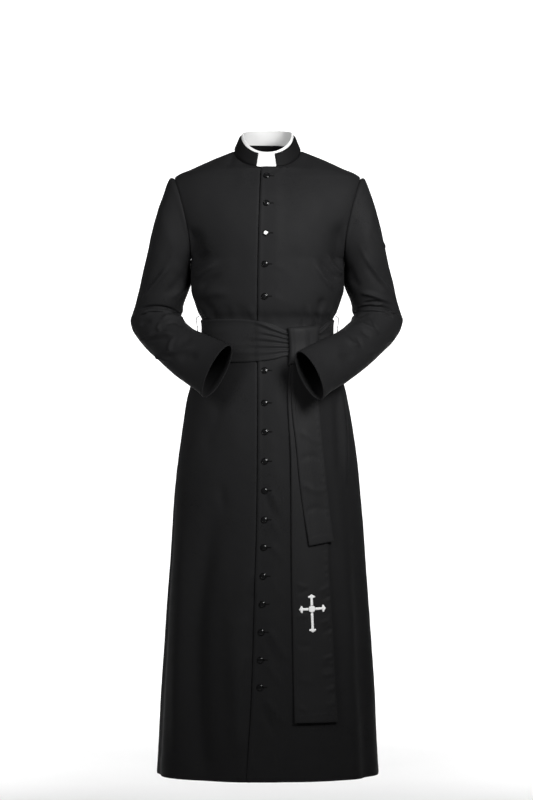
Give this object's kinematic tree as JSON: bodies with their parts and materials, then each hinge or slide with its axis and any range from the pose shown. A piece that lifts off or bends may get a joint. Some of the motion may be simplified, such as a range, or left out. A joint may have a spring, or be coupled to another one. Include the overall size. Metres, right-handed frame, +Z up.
{
  "type": "cassock",
  "caption": "Black cassock as worn, with a standing collar and white band, front buttons, and a tied sash whose long end has a white cross. Hollow, with bent sleeves.",
  "frame": {"origin": "middle of the neck, level with the points where the shoulder seams meet the collar", "axes": "+Z up along the standing garment, the front faces -Y, +X is the wearer's left"},
  "size_m": [0.6014, 0.3841, 1.4139],
  "materials": {
    "black_cloth": "matt",
    "sash_cloth": "matt",
    "white_collar": "matt",
    "white_embroidery": "satin",
    "thread": "matt",
    "black_button": "gloss",
    "pale_button": "gloss"
  },
  "bodies": {
    "root": {"front_right": "black_cloth", "front_left": "black_cloth", "back": "black_cloth", "sleeve_right": "black_cloth", "sleeve_left": "black_cloth", "collar": "black_cloth", "belt_wrap": "sash_cloth", "belt_knot": "sash_cloth", "belt_end_long": "sash_cloth", "belt_end_short": "sash_cloth", "collar_insert": "white_collar", "cross": "white_embroidery", "belt_loop_left": "thread", "belt_loop_right": "thread", "button_01": "black_button", "button_02": "black_button", "button_03": "pale_button", "button_04": "black_button", "button_05": "black_button", "button_06": "black_button", "button_07": "black_button", "button_08": "black_button", "button_09": "black_button", "button_10": "black_button", "button_11": "black_button", "button_12": "black_button", "button_13": "black_button", "button_14": "black_button", "button_15": "black_button", "button_16": "black_button", "button_17": "black_button"}
  },
  "joints": []
}
